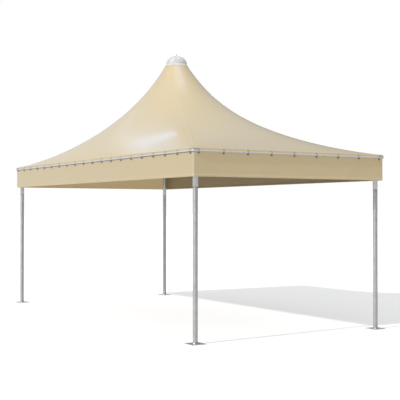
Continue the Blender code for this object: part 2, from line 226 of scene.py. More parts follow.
class Graph:
    """The node tree of a material or of the surround; every node comes from its node method."""

    def __init__(self, owner):
        self.owner = owner
        owner.use_nodes = True
        self.tree = owner.node_tree
        self.tree.nodes.clear()

    def node(self, kind, settings=None, values=(), output=0):
        """Adds a node, sets its settings first and then its sockets, and returns one output."""
        made = self.tree.nodes.new(kind)
        for key, value in (settings or {}).items():
            setattr(made, key, value)
        for key, value in values.items() if isinstance(values, dict) else enumerate(values):
            if isinstance(value, Wire):
                self.tree.links.new(value.socket, made.inputs[key])
            else:
                made.inputs[key].default_value = value
        return Wire(self, made.outputs[output]) if made.outputs else None

    def place(self, output="Object"):
        """The surface's own coordinates, in the frame's metres, or another kind of coordinates."""
        return self.node("ShaderNodeTexCoord", output=output)

    def vectors(self, operation, *values, output="Vector"):
        return self.node("ShaderNodeVectorMath", {"operation": operation}, values, output)

    def axis(self, name):
        return self.node("ShaderNodeSeparateXYZ", None, (self.place(),), name)

    def noise(self, scale, detail, stretch=None):
        place = self.vectors("MULTIPLY", self.place(), stretch) if stretch else self.place()
        values = {"Vector": place, "Scale": scale, "Detail": detail}
        return self.node("ShaderNodeTexNoise", None, values, "Fac")

    def blend(self, factor, first, second):
        """A colour between two others."""
        return self.node("ShaderNodeMix", {"data_type": "RGBA"}, {0: factor, 6: first, 7: second}, 2)

    def tinted(self, colour, amount):
        """A colour made lighter or darker by a varying amount about 1."""
        grey = self.node("ShaderNodeCombineColor", None, (amount, amount, amount))
        settings = {"data_type": "RGBA", "blend_type": "MULTIPLY"}
        return self.node("ShaderNodeMix", settings, {0: 1.0, 6: colour, 7: grey}, 2)

    def rise(self, value, low, high):
        """A smooth step from 0 to 1 as the value goes from low to high."""
        values = {"Value": value, "From Min": low, "From Max": high}
        return self.node("ShaderNodeMapRange", {"interpolation_type": "SMOOTHSTEP"}, values)

    def bump(self, height, distance, **normal):
        values = {"Strength": 1.0, "Distance": distance, "Height": height, **normal}
        return self.node("ShaderNodeBump", None, values)

    def finish(self, **values):
        """Ends the tree in one Principled shader; names use underscores for spaces."""
        sockets = {key.replace("_", " "): value for key, value in values.items()}
        shader = self.node("ShaderNodeBsdfPrincipled", None, sockets)
        self.node("ShaderNodeOutputMaterial", None, {"Surface": shader})
        return self.owner


def rgba(colour):
    return (*colour, 1.0)


def material_graph(name):
    return Graph(bpy.data.materials.new(name))


def membrane_finish(colours):
    """Coated polyester cloth: a fine basket weave under a satin lacquer, with faint handling marks, painted
    shade and warm bounce light on the inner faces, and a painted pale sky reflection on the valances' rounded
    corners.
    """
    fold_start, fold_end, sheen_floor = 0.018, 0.008, 0.55
    hem_width = bpy.context.scene.tent_sizes.hem_width
    graph = material_graph("membrane_cloth")
    weave = graph.node("ShaderNodeTexVoronoi", {"feature": "F1", "distance": "CHEBYCHEV"},
                       {"Vector": graph.place(), "Scale": 420.0, "Randomness": 0.0}, "Distance")
    cloud = graph.noise(1.3, 3.0)
    smudge = graph.noise(9.0, 4.0)
    height = graph.axis("Z")
    hem = height < VALANCE_LOW.z + hem_width
    # Near both the X and the Y edge below the eave, on the valance corners: a painted pale sky reflection,
    # made patchy by the smudge noise
    folds = [graph.rise(abs(graph.axis(name)), edge - fold_start, edge - fold_end)
             for name, edge in (("X", SKIN_X), ("Y", SKIN_Y))]
    corner_sheen = folds[0] * folds[1] * (height < VALANCE_HIGH.z) * (sheen_floor + smudge * 0.7)
    amount = 0.965 + cloud * 0.05 + smudge * 0.02 - hem * 0.02
    # Faces whose normals point into the tent take the shaded inside colour: painted shade and warm bounce
    # light on the cloth's inner side
    outward = graph.vectors("MULTIPLY_ADD", graph.place(), (1.0, 1.0, 0.0), (0.0, 0.0, 1.0))
    inner = graph.vectors("DOT_PRODUCT", graph.place("Normal"), outward, output="Value") < 0
    cloth = graph.tinted(graph.blend(inner, rgba(colours.membrane), rgba(colours.shaded_inside)), amount)
    return graph.finish(
        Base_Color=graph.blend(corner_sheen, cloth, rgba(colours.corner_sheen_colour)),
        Roughness=0.30 + smudge * 0.08,
        Normal=graph.bump(weave, 0.00005, Normal=graph.bump(cloud, 0.004)),
        Coat_Weight=0.34,
        Coat_Roughness=0.13,
        Specular_IOR_Level=0.5,
    )


def galvanised_finish(colours):
    """Hot-dip zinc: soft spangles of a few tones, with slightly rougher patches, paler on the base plates."""
    graph = material_graph("galvanised_steel")
    spangle = graph.node("ShaderNodeTexVoronoi", None, {"Scale": 70.0, "Vector": graph.place()}, "Color")
    tone = graph.node("ShaderNodeSeparateColor", None, (spangle,), 0)
    patch = graph.noise(14.0, 4.0)
    streak = graph.noise(5.0, 3.0, (6.0, 6.0, 0.5))
    plate = graph.axis("Z") < PLATE_THICK + GAP
    amount = 0.70 + tone * 0.14 + patch * 0.38 + streak * 0.08 + plate * 0.30
    return graph.finish(
        Base_Color=graph.tinted(rgba(colours.galvanised), amount),
        Roughness=0.36 + patch * 0.14 - tone * 0.08,
        Metallic=0.94,
        Normal=graph.bump(patch, 0.0008),
    )


def drawn_finish(name, colour, roughness, grain):
    """Drawn aluminium: fine lines along the bar, in satin metal; grain is the stretch of the lines."""
    graph = material_graph(name)
    lines = graph.noise(1.0, 3.0, grain)
    patch = graph.noise(6.0, 3.0)
    return graph.finish(
        Base_Color=graph.tinted(rgba(colour), 0.92 + lines * 0.10 + patch * 0.06),
        Roughness=roughness + lines * 0.12,
        Metallic=0.70,
        Normal=graph.bump(lines, 0.0001),
    )


def cable_finish(colours):
    """Galvanised wire rope and forged screws, with random darker grime patches."""
    graph = material_graph("cable_steel")
    grime = graph.noise(120.0, 3.0)
    return graph.finish(
        Base_Color=graph.tinted(rgba(colours.cable), 0.75 + grime * 0.4),
        Roughness=0.32 + grime * 0.16,
        Metallic=0.80,
        Normal=graph.bump(grime, 0.0002),
    )


def cap_finish(colours):
    """Moulded off-white plastic with a faint grain, which lets light through."""
    graph = material_graph("cap_plastic")
    grain = graph.noise(260.0, 2.0)
    chalk = graph.noise(8.0, 3.0)
    return graph.finish(
        Base_Color=graph.tinted(rgba(colours.cap), 0.96 + chalk * 0.08),
        Roughness=0.52 + chalk * 0.14,
        Normal=graph.bump(grain, 0.0001),
        Subsurface_Weight=0.7,
        Subsurface_Radius=(1.0, 1.0, 1.0),
        Subsurface_Scale=0.06,
    )


def knob_finish(colours):
    """Black moulded plastic and rubber, with a fine eroded grain."""
    graph = material_graph("knob_plastic")
    grain = graph.noise(700.0, 2.0)
    scuff = graph.noise(60.0, 4.0)
    return graph.finish(
        Base_Color=graph.tinted(rgba(colours.knob), 0.8 + scuff * 0.5),
        Roughness=0.45 + scuff * 0.15,
        Normal=graph.bump(grain, 0.0001),
    )


def floor_finish(colours):
    """Pale matt studio floor, lit from within like a light table, so that shadows on it stay soft."""
    graph = material_graph("studio_floor")
    cloud = graph.noise(0.4, 2.0)
    return graph.finish(
        Base_Color=graph.tinted(rgba(colours.floor), 0.99 + cloud * 0.02),
        Roughness=0.75 + cloud * 0.05,
        Specular_IOR_Level=0.1,
        Emission_Color=(1.0, 0.96, 0.88, 1.0),
        Emission_Strength=0.41,
    )


FINISHES = {
    "membrane": membrane_finish,
    "galvanised_steel": galvanised_finish,
    "rod_aluminium": lambda colours: drawn_finish("rod_aluminium", colours.rod, 0.48, (9.0, 9.0, 900.0)),
    "beam_aluminium": lambda colours: drawn_finish("beam_aluminium", colours.beam, 0.34, (4.0, 4.0, 500.0)),
    "fitting": lambda colours: drawn_finish("fitting_metal", colours.fitting, 0.40, (60.0, 60.0, 900.0)),
    "cable_steel": cable_finish,
    "cap_plastic": cap_finish,
    "knob": knob_finish,
}
MADE_FINISHES = {}


def finish_for(name):
    if name not in MADE_FINISHES:
        MADE_FINISHES[name] = FINISHES[name](bpy.context.scene.tent_colours)
    return MADE_FINISHES[name]


def turns(sides):
    """Angles spread evenly over a full turn."""
    return [2 * math.pi * index / sides for index in range(sides)]


def quarter(steps):
    """Angles from 0 to a right angle, with both ends."""
    return [math.pi / 2 * step / steps for step in range(steps + 1)]


def polar(radius, turn, level=0.0):
    """The point at a radius and a turn about the Z axis."""
    return Vector((radius * math.cos(turn), radius * math.sin(turn), level))


def bar_ring(point, out, radius, sides):
    """A ring of points round a level bar, where out is square to the bar."""
    return [point + out * radius * math.cos(turn) + UP * radius * math.sin(turn) for turn in turns(sides)]


def facing(origin, direction):
    """A place at an origin whose Z axis runs along a direction."""
    turn = UP.rotation_difference(Vector(direction).normalized()).to_matrix().to_4x4()
    return Matrix.Translation(origin) @ turn


def raised(place, level):
    """A place moved along its own Z axis."""
    return place @ Matrix.Translation((0, 0, level))


def side_directions(axis, sign):
    """A side's two level directions: along it, and out of the tent."""
    ways = Vector((1, 0, 0)), Vector((0, 1, 0))
    return ways[axis], ways[1 - axis] * sign


def tube_profile(outer, wall, low, high, rounding=0.0006):
    """The closed section of a tube with softened ends."""
    inner, start, end = outer - wall, low + rounding, high - rounding
    return [(outer, start), (outer, end), (outer - rounding, high), (inner + rounding, high),
            (inner, end), (inner, start), (inner + rounding, low), (outer - rounding, low)]


class Form:
    """A mesh under construction, in the frame's metres."""

    BEAD_SIDES = 8
    WASHER_SIDES = 20
    RIPPLE = 0.14
    WOBBLE = 0.05
    WOBBLE_RATE = 2.7
    # Shares of a bolt head's radius, and of the thickness of the washer or the head
    WASHER = ((1.2, 0), (1.25, 0.3), (1.25, 0.8), (1.1875, 1.0))
    HEAD = ((1.0, 0), (1.0, 0.8), (0.86, 1.0))

    def __init__(self):
        self.mesh = bmesh.new()

    def loft(self, rings, shut=False, caps=False):
        """Skins equal rings of points; shut joins the last ring to the first."""
        rows = [[self.mesh.verts.new(point) for point in ring] for ring in rings]
        size = len(rows[0])
        for lower, upper in zip(rows, rows[1:] + rows[:1] if shut else rows[1:]):
            for index in range(size):
                following = (index + 1) % size
                self.mesh.faces.new((lower[index], lower[following], upper[following], upper[index]))
        if caps:
            self.mesh.faces.new(rows[0][::-1])
            self.mesh.faces.new(rows[-1])

    def turned(self, profile, place=Matrix(), sides=32, shut=False):
        """Turns (radius, height) points about the place's Z axis."""
        rings = [[place @ polar(radius, turn, height) for turn in turns(sides)] for radius, height in profile]
        self.loft(rings, shut=shut, caps=not shut)

    def block(self, low, high, rounding, place=Matrix()):
        """A box between two corners with rounded edges."""
        low, high = Vector(low), Vector(high)
        shape = Matrix.Translation((low + high) / 2) @ Matrix.Diagonal((*map(abs, high - low), 1.0))
        made = bmesh.ops.create_cube(self.mesh, size=1.0, matrix=place @ shape)
        edges = list(dict.fromkeys(edge for corner in made["verts"] for edge in corner.link_edges))
        bmesh.ops.bevel(self.mesh, geom=edges, offset=rounding, segments=2, profile=0.5, affect="EDGES")

    def hex_bolt(self, place, across, height):
        """A hexagon head on a washer, standing along the place's Z axis."""
        radius, thin = across / math.sqrt(3), height / 4
        washer = [(radius * share, thin * level) for share, level in self.WASHER]
        self.turned(washer, place, self.WASHER_SIDES)
        self.turned([(radius * share, thin + height * level) for share, level in self.HEAD], place, 6)

    def weld(self, place, radius, out, thickness, ripples):
        """A weld bead just outside a radius about the place's Z axis, with the ripples of its passes."""
        radius += out
        rings = []
        for turn in turns(ripples * 4):
            swell = self.RIPPLE * math.sin(ripples * turn) + self.WOBBLE * math.sin(self.WOBBLE_RATE * turn)
            ring = bar_ring(polar(radius, turn), polar(1, turn), thickness * (1 + swell), self.BEAD_SIDES)
            rings.append([place @ spot for spot in ring])
        self.loft(rings, shut=True)

    def strap(self, points, across, width, thickness):
        """A bent metal strap along its middle points; across is its unit width direction."""
        rings = []
        side = across * (width / 2)
        for index, point in enumerate(points):
            course = points[min(index + 1, len(points) - 1)] - points[max(index - 1, 0)]
            out = course.normalized().cross(across) * (thickness / 2)
            rings.append([point - side - out, point + side - out, point + side + out, point - side + out])
        self.loft(rings, caps=True)

    def plain(self, name):
        """Ends the form as an object of the scene."""
        bmesh.ops.recalc_face_normals(self.mesh, faces=self.mesh.faces)
        mesh = bpy.data.meshes.new(name)
        self.mesh.to_mesh(mesh)
        self.mesh.free()
        item = bpy.data.objects.new(name, mesh)
        bpy.context.scene.collection.objects.link(item)
        return item

    def piece(self, name, finish, replaced=(), angle=35.0):
        """Ends the form as a piece that rides on the tent, with its finish and shading."""
        item = self.plain(name)
        item.data.shade_smooth()
        item.data.set_sharp_from_angle(angle=math.radians(angle))
        item.data.materials.append(finish_for(finish))
        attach(item, BODY)
        if replaced:
            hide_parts(*replaced)
        return item


def eave_outline():
    """Complex points round the eave rectangle, anticlockwise from the middle of the right side."""
    corner = [SKIN_X + 1j * SKIN_Y, -SKIN_X + 1j * SKIN_Y, -SKIN_X - 1j * SKIN_Y, SKIN_X - 1j * SKIN_Y]
    points = []
    for index, spans in enumerate((SPANS_LONG, SPANS_SHORT, SPANS_LONG, SPANS_SHORT)):
        start, end = corner[index], corner[(index + 1) % 4]
        points += [start + (end - start) * step / spans for step in range(spans)]
    return np.roll(np.array(points), SPANS_SHORT // 2)


def canopy_ring(outline, climb):
    """One level ring of the membrane, at climb 0 on the eaves and 1 under the cap."""
    size = len(outline)
    harmonics = np.fft.fft(outline) / size
    order = np.fft.fftfreq(size) * size
    top = np.where(order == 1, CAP_RADIUS, 0.0)
    fade = np.maximum(np.abs(order) * CORNER_FADE, ROUND_FADE)
    fade[order == -1] = OVAL_FADE
    blend = (harmonics * np.sinh(fade * (1 - climb)) + top * np.sinh(fade * climb)) / np.sinh(fade)
    ring = np.fft.ifft(blend) * size
    level = EAVE_EDGE_Z + (CAP_SEAT_Z - EAVE_EDGE_Z) * climb * (1 + BELLY * (1 - climb))
    return np.column_stack([ring.real, ring.imag, np.full(size, level)])


def onset(distance, start, reach):
    """0 up to the start, then growing towards 1 over about the reach."""
    return 1 - np.exp(-np.maximum(distance - start, 0) / reach)


class Membrane:
    """The roof's outer surface as a grid of points, with its normals and its distance from the eave."""

    RINGS = 54
    DENSER = 1.45
    EDGE_ROUND = 0.006
    SAG = 0.0020
    SAG_START, SAG_ONSET, SAG_REACH = 0.045, 0.03, 0.16
    FOLD = 0.0012
    FOLD_WAVES = 12.0
    FOLD_START, FOLD_ONSET, FOLD_REACH = 0.05, 0.10, 0.55

    def __init__(self, sizes):
        self.outline = eave_outline()
        self.rows = self.make_rows()
        self.settle()
        self.rows = self.rows + self.normals * self.relief(sizes)[:, :, None]
        self.settle()

    def make_rows(self):
        edge = canopy_ring(self.outline, 0.0)
        low, below = edge.copy(), edge.copy()
        low[:, 2] = ROD_Z
        below[:, 2] -= self.EDGE_ROUND
        climbs = [(step / self.RINGS) ** self.DENSER for step in range(2, self.RINGS + 1)]
        rings = [canopy_ring(self.outline, climb) for climb in climbs]
        reach = np.linalg.norm(rings[0] - edge, axis=1, keepdims=True)
        above = edge + (rings[0] - edge) * self.EDGE_ROUND / reach
        bend = [(1 - t) ** 2 * below + 2 * t * (1 - t) * edge + t * t * above for t in (0.25, 0.5, 0.75)]
        return np.array([low, below, *bend, above, *rings])

    def settle(self):
        """Works out the normals and the distance of each point from the eave edge."""
        around = np.roll(self.rows, -1, axis=1) - np.roll(self.rows, 1, axis=1)
        normals = np.cross(around, np.gradient(self.rows, axis=0))
        self.normals = normals / np.linalg.norm(normals, axis=2, keepdims=True)
        steps = np.linalg.norm(np.diff(self.rows, axis=0), axis=2)
        self.height = np.vstack([np.zeros(len(self.outline)), np.cumsum(steps, axis=0)])

    def relief(self, sizes):
        """How far the cloth lies off the smooth form: a slack between clips and folds at the corners."""
        x, y = self.outline.real, self.outline.imag
        on_long = np.abs(np.abs(y) - SKIN_Y) < GAP
        half_pitch = (sizes.clips_long - 1) / 2 % 1
        pitches = np.where(on_long, x / sizes.pitch_long - half_pitch, y / sizes.pitch_short)
        between = 0.5 - 0.5 * np.cos(2 * math.pi * pitches)
        near = np.exp(-self.height / self.SAG_REACH) * onset(self.height, self.SAG_START, self.SAG_ONSET)
        folds = np.zeros_like(self.height)
        for side_x, side_y in CORNERS.values():
            run = np.abs(self.rows[:, :, 0] - side_x * SKIN_X)
            rise = np.abs(self.rows[:, :, 1] - side_y * SKIN_Y)
            reach = np.hypot(run, rise)
            fade = np.exp(-(reach / self.FOLD_REACH) ** 2) * onset(reach, self.FOLD_START, self.FOLD_ONSET)
            folds += self.FOLD * np.sin(np.arctan2(rise, run) * self.FOLD_WAVES) * fade
        return folds - self.SAG * between * near

    def area(self):
        """Area of the outer surface."""
        ahead = np.roll(self.rows, -1, axis=1)
        first = np.cross(ahead[:-1] - self.rows[:-1], self.rows[1:] - self.rows[:-1])
        second = np.cross(self.rows[1:] - ahead[1:], ahead[:-1] - ahead[1:])
        return float((np.linalg.norm(first, axis=2).sum() + np.linalg.norm(second, axis=2).sum()) / 2)

    def beside(self, row, column, offset, lift):
        """The point at a distance along a ring from a column, lifted off the cloth."""
        reach = 12
        picks = np.arange(column - reach, column + reach + 1) % len(self.outline)
        points, normals = self.rows[row][picks], self.normals[row][picks]
        steps = np.concatenate([[0.0], np.cumsum(np.linalg.norm(np.diff(points, axis=0), axis=1))])
        steps -= steps[reach]
        point, normal = (np.array([np.interp(offset, steps, values[:, axis]) for axis in range(3)])
                         for values in (points, normals))
        return point + normal * lift


class TentStep:
    """What every building step shares: it can be undone."""

    bl_options = {"REGISTER", "UNDO"}


class TENT_OT_roof(TentStep, bpy.types.Operator):
    """Build the roof membrane with its welded hip seams and top band"""

    bl_idname = "tent.roof"
    bl_label = "Roof Membrane"

    KEDER_TOP = 0.040
    KEDER_TAPER = 0.010
    SEAM_HALF = 0.020
    SEAM_LIFT = 0.0008
    SEAM_EDGE = 0.6
    SEAM_FLAT = 0.93
    SEAM_START = 0.075
    BAND_HEIGHT = 0.085

    def execute(self, context):
        sizes = context.scene.tent_sizes
        cloth = Membrane(sizes)
        roof = self.build_cloth(cloth, sizes)
        seams = self.build_seams(cloth)
        cloth.area()
        return {"FINISHED"}

    def build_cloth(self, cloth, sizes):
        """The cloth as a closed sheet, thicker along the folded edge that the rods clamp."""
        folded = np.clip(1 - (cloth.height - self.KEDER_TOP) / self.KEDER_TAPER, 0, 1)
        thickness = sizes.cloth_thickness + (sizes.keder_thickness - sizes.cloth_thickness) * folded
        inner = cloth.rows - cloth.normals * thickness[:, :, None]
        inner[0, :, 2] = cloth.rows[0, :, 2]
        form = Form()
        form.loft([*cloth.rows, *inner[::-1]], shut=True)
        return form.piece("roof_membrane", "membrane", ["roof_canopy"], angle=40.0)

    def build_seams(self, cloth):
        """Doubled strips: one up each hip, and a band round the top under the cap."""
        form = Form()
        lift, half = self.SEAM_LIFT, self.SEAM_HALF
        edge, flat = lift * self.SEAM_EDGE, half * self.SEAM_FLAT
        section = [(-half, -lift / 2), (-half, edge), (-flat, lift), (0, lift), (flat, lift), (half, edge),
                   (half, -lift / 2), (0, -lift / 2)]
        first = int(np.argmax(cloth.height[:, 0] > self.SEAM_START))
        last = int(np.argmax(cloth.height[-1, 0] - cloth.height[:, 0] < self.BAND_HEIGHT))
        hip = SPANS_SHORT // 2
        for column in (hip, hip + SPANS_LONG, hip + SPANS_LONG + SPANS_SHORT, -hip):
            form.loft([[cloth.beside(row, column, offset, rise) for offset, rise in section]
                       for row in range(first, last)], caps=True)
        outer = cloth.rows[last:] + cloth.normals[last:] * lift
        under = cloth.rows[last:] - cloth.normals[last:] * lift / 2
        form.loft([*outer, *under[::-1]], shut=True)
        return form.piece("roof_seams", "membrane", angle=50.0)


class TENT_OT_valances(TentStep, bpy.types.Operator):
    """Build the four hanging valances with their hems and corner returns"""

    bl_idname = "tent.valances"
    bl_label = "Valances"

    STEP = 0.020
    ROWS = 12
    CORNER_ROUND = 0.014
    SEAM_FROM_CORNER = 0.180
    SEAM_HALF = 0.009
    SEAM_EDGE = 0.0015
    SEAM_LIFT = 0.0004
    HEM_LIFT = 0.0007
    HEM_ROUND = 0.0022
    HEM_BULGE = 1.2
    HEM_TIP = 0.2
    WAVE = 0.0022
    WAVE_EASE = 0.35
    WAVE_GROWTH = 1.3
    # Share of the height, radians a metre, and start
    WAVES = ((0.6, 7.3, 0.8), (0.4, 13.1, 2.1))
    SETBACK = 0.0013
    END_CLEAR = 0.006

    def execute(self, context):
        sizes = context.scene.tent_sizes
        for name, (axis, sign) in SIDES.items():
            path, seams = self.short_path(sign) if axis else self.long_path(sizes, sign)
            cloth = self.build_valance(name, path, seams, sizes)
            run = sum((second - first).length for (first, _), (second, _) in zip(path, path[1:]))
        return {"FINISHED"}

    def long_path(self, sizes, sign):
        """Stations (point, outward) of a long valance, from one corner return to the other."""
        radius = self.CORNER_ROUND
        flat, seam = SKIN_X - radius, SKIN_X - self.SEAM_FROM_CORNER
        stops = [-flat, flat]
        for centre in (-seam, seam):
            for width in (self.SEAM_HALF, self.SEAM_HALF + self.SEAM_EDGE):
                stops += [centre - width, centre + width]
        stops.sort()
        path = []
        for start, end in zip(stops, stops[1:]):
            spans = max(1, round((end - start) / self.STEP))
            path += [start + (end - start) * step / spans for step in range(spans)]
        path = [(Vector((x, sign * SKIN_Y, 0)), Vector((0, sign, 0))) for x in [*path, flat]]
        bend = Vector((flat, sign * (SKIN_Y - radius), 0))
        corner = []
        for turn in quarter(8)[1:]:
            out = Vector((math.sin(turn), sign * math.cos(turn), 0))
            corner.append((bend + out * radius, out))
        for share in (0.25, 0.5, 0.75, 1.0):
            y = SKIN_Y - radius - sizes.valance_return * share
            corner.append((Vector((SKIN_X, sign * y, 0)), Vector((1, 0, 0))))
        mirror = Matrix.Diagonal((-1, 1, 1))
        mirrored = [(mirror @ point, mirror @ out) for point, out in reversed(corner)]
        return mirrored + path + corner, (-seam, seam)

    def short_path(self, sign):
        """Stations of a short valance, which lies just behind the long valances' returns."""
        end = SKIN_Y - self.END_CLEAR
        x = sign * (SKIN_X - self.SETBACK)
        spans = round(2 * end / self.STEP)
        return [(Vector((x, 2 * end * step / spans - end, 0)), Vector((sign, 0, 0)))
                for step in range(spans + 1)], ()

    def build_valance(self, name, path, seams, sizes):
        """Sweeps the hemmed section along the stations, with slight waves towards the free edge."""
        top, low, lift, thick = VALANCE_HIGH.z, VALANCE_LOW.z, self.HEM_LIFT, sizes.cloth_thickness
        hem, turn_up = low + sizes.hem_width, low + self.HEM_ROUND
        levels = [top + (hem - top) * step / self.ROWS for step in range(self.ROWS + 1)]
        hem_top, tip, back = hem - self.SEAM_EDGE, lift * self.HEM_TIP, -thick - lift
        fold = [(lift, hem_top), (lift * self.HEM_BULGE, (hem + low) / 2), (lift, turn_up), (tip, low),
                (-thick - tip, low), (back, turn_up), (back, hem_top)]
        section = [(0.0, level) for level in levels] + fold + [(-thick, level) for level in reversed(levels)]
        rings = []
        for point, out in path:
            along = point.x if abs(out.y) > abs(out.x) else point.y
            room = SKIN_X - abs(point.x) if seams else SKIN_Y - abs(along)
            ease = min(1.0, abs(room) / self.WAVE_EASE)
            wave = sum(part * math.sin(along * rate + start) for part, rate, start in self.WAVES)
            on_seam = any(abs(point.x - seam) < self.SEAM_HALF + self.SEAM_EDGE / 3 for seam in seams)
            ring = []
            for depth, level in section:
                share = (top - level) / (top - low)
                push = self.WAVE * ease * (wave * share ** self.WAVE_GROWTH - share)
                if on_seam and depth >= 0:
                    push += self.SEAM_LIFT
                ring.append(point + out * (depth + push) + UP * level)
            rings.append(ring)
        form = Form()
        form.loft(rings, caps=True)
        return form.piece(f"{name}_valance_cloth", "membrane", [f"{name}_valance"], angle=50.0)


class TENT_OT_eave_rods(TentStep, bpy.types.Operator):
    """Build the eave rods with their corner bends and angle plates"""

    bl_idname = "tent.eave_rods"
    bl_label = "Eave Rods"

    WALL = 0.002
    SIDES = 32
    JOINT = 0.0008
    BEND_ROUND = 0.004
    PLATE_LOW = 0.004
    PLATE_TOP = 0.031
    PLATE_ROUND = 0.0012
    PLATE_STEP = 0.002
    BOLT_Z = 0.0235
    BOLT_REACHES = (0.030, 0.082)

    def execute(self, context):
        for name, (axis, sign) in SIDES.items():
            self.build_rod(name, axis, sign)
        for name, (side_x, side_y) in CORNERS.items():
            self.build_corner(name, side_x, side_y)
        return {"FINISHED"}

    def build_rod(self, name, axis, sign):
        """A tube between two corner bends, with a fine joint line at its middle."""
        low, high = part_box(f"{name}_rod")
        half, groove = (high[axis] - low[axis]) / 2, self.JOINT
        outer, inner, dip = ROD_RADIUS, ROD_RADIUS - self.WALL, ROD_RADIUS - groove
        joint = [(outer, -groove), (dip, -groove / 2), (dip, groove / 2), (outer, groove)]
        profile = [(outer, groove - half), *joint, (outer, half - groove), (dip, half), (inner, half),
                   (inner, -half), (dip, -half)]
        form = Form()
        form.turned(profile, facing((low + high) / 2, side_directions(axis, sign)[0]), self.SIDES, shut=True)
        form.piece(f"{name}_eave_rod", "rod_aluminium", [f"{name}_rod"])

    def build_corner(self, name, side_x, side_y):
        """A bent tube on the corner, and the angle plate that clamps the cloth above it."""
        mirror = Matrix.Diagonal((side_x, side_y, 1, 1))
        start_x, start_y = SKIN_X - BRACKET_LEG, SKIN_Y - BRACKET_LEG
        bend = Vector((HALF_X + ROD_OUT, HALF_Y + ROD_OUT, ROD_Z))
        radius = ROD_RADIUS + self.BEND_ROUND
        centre = bend - Vector((radius, radius, 0))
        stations = [(Vector((start_x, bend.y, ROD_Z)), Vector((0, 1, 0)))]
        for turn in quarter(8):
            out = Vector((math.sin(turn), math.cos(turn), 0))
            stations.append((centre + out * radius, out))
        stations.append((Vector((bend.x, start_y, ROD_Z)), Vector((1, 0, 0))))
        form = Form()
        form.loft([[mirror @ spot for spot in bar_ring(point, out, ROD_RADIUS, self.SIDES)]
                   for point, out in stations], caps=True)
        form.piece(f"eave_corner_{name}", "rod_aluminium", [f"rod_corner_{name}"])
        form = Form()
        low, high = ROD_Z + self.PLATE_LOW, ROD_Z + self.PLATE_TOP
        face_x, face_y = SKIN_X + GAP, SKIN_Y + GAP
        back_x, back_y = face_x + BRACKET_THICK, face_y + BRACKET_THICK
        form.block((start_x, face_y, low), (back_x, back_y, high), self.PLATE_ROUND, mirror)
        form.block((face_x, start_y, low), (back_x, back_y - self.PLATE_STEP, high), self.PLATE_ROUND, mirror)
        level = ROD_Z + self.BOLT_Z
        for reach in self.BOLT_REACHES:
            on_long = mirror @ Vector((SKIN_X - reach, back_y, level))
            on_short = mirror @ Vector((back_x, SKIN_Y - reach, level))
            form.hex_bolt(facing(on_long, (0, side_y, 0)), *PLATE_BOLT)
            form.hex_bolt(facing(on_short, (side_x, 0, 0)), *PLATE_BOLT)
        form.piece(f"eave_bracket_{name}", "fitting")


class TENT_OT_eave_clips(TentStep, bpy.types.Operator):
    """Build the clips that hold the rods against the beams, with their bolts and knobs"""

    bl_idname = "tent.eave_clips"
    bl_label = "Eave Clips"

    WIDTH = 0.022
    THICK = 0.0018
    ELBOW = 0.0155
    FLANGE_TOP = 0.035
    FLANGE_LOW = -0.036
    WRAP = 126
    WRAP_ON_BRACKET = 108
    BEND_STEPS = 12
    BOLT_Z = 0.0260
    KNOB_Z = -0.0268
    KNOB_RADIUS = 0.0108
    KNOB_LOBES = 6
    LOBE_DEPTH = 0.07
    # Radius as a share of the knob's, and height
    KNOB_NECK = ((0.50, 0.0), (0.50, 0.003))
    KNOB_HEAD = ((0.86, 0.0035), (0.98, 0.005), (1.0, 0.008), (0.97, 0.0115), (0.86, 0.0130))
    KNOB_CROWN = (0.45, 0.0138)

    def execute(self, context):
        sizes = context.scene.tent_sizes
        for name, (axis, sign) in SIDES.items():
            clips, pitch, half = ((sizes.clips_short, sizes.pitch_short, HALF_X) if axis else
                                  (sizes.clips_long, sizes.pitch_long, HALF_Y))
            run, out = side_directions(axis, sign)
            straps, knobs = Form(), Form()
            for index in range(clips):
                centre = out * (half + ROD_OUT) + run * (index - (clips - 1) / 2) * pitch + UP * ROD_Z
                self.build_clip(straps, knobs, centre, run, out, index in (0, clips - 1))
            straps.piece(f"{name}_clips", "fitting")
            knobs.piece(f"{name}_knobs", "knob")
        return {"FINISHED"}

    def build_clip(self, straps, knobs, centre, run, out, on_bracket):
        """One strap over the rod, bolted above it and held by a knob below."""
        half = self.THICK / 2
        low_face = half - ROD_RADIUS
        top_face = low_face + (BRACKET_THICK + GAP if on_bracket else 0.0)
        hug = ROD_RADIUS + half + GAP / 2
        top = math.radians(self.WRAP_ON_BRACKET if on_bracket else self.WRAP)
        sweep = -math.radians(self.WRAP) - top
        bend = [polar(hug, top + sweep * step / self.BEND_STEPS) for step in range(self.BEND_STEPS + 1)]
        line = [(top_face, self.FLANGE_TOP), (top_face, self.ELBOW), *(spot.xy for spot in bend),
                (low_face, -self.ELBOW), (low_face, self.FLANGE_LOW)]
        points = [centre + out * depth + UP * level for depth, level in line]
        straps.strap(points, run, self.WIDTH, self.THICK)
        straps.hex_bolt(facing(centre + out * (top_face + half) + UP * self.BOLT_Z, out), *CLIP_BOLT)
        self.build_knob(knobs, facing(centre + out * (low_face + half) + UP * self.KNOB_Z, out))

    def build_knob(self, knobs, place):
        """A lobed hand knob on a short neck."""
        rings = []
        for share, height in (*self.KNOB_NECK, *self.KNOB_HEAD, self.KNOB_CROWN):
            depth = self.LOBE_DEPTH if (share, height) in self.KNOB_HEAD else 0.0
            radius = self.KNOB_RADIUS * share
            rings.append([place @ polar(radius * (1 + depth * math.cos(self.KNOB_LOBES * turn)), turn, height)
                          for turn in turns(self.KNOB_LOBES * 6)])
        knobs.loft(rings, caps=True)


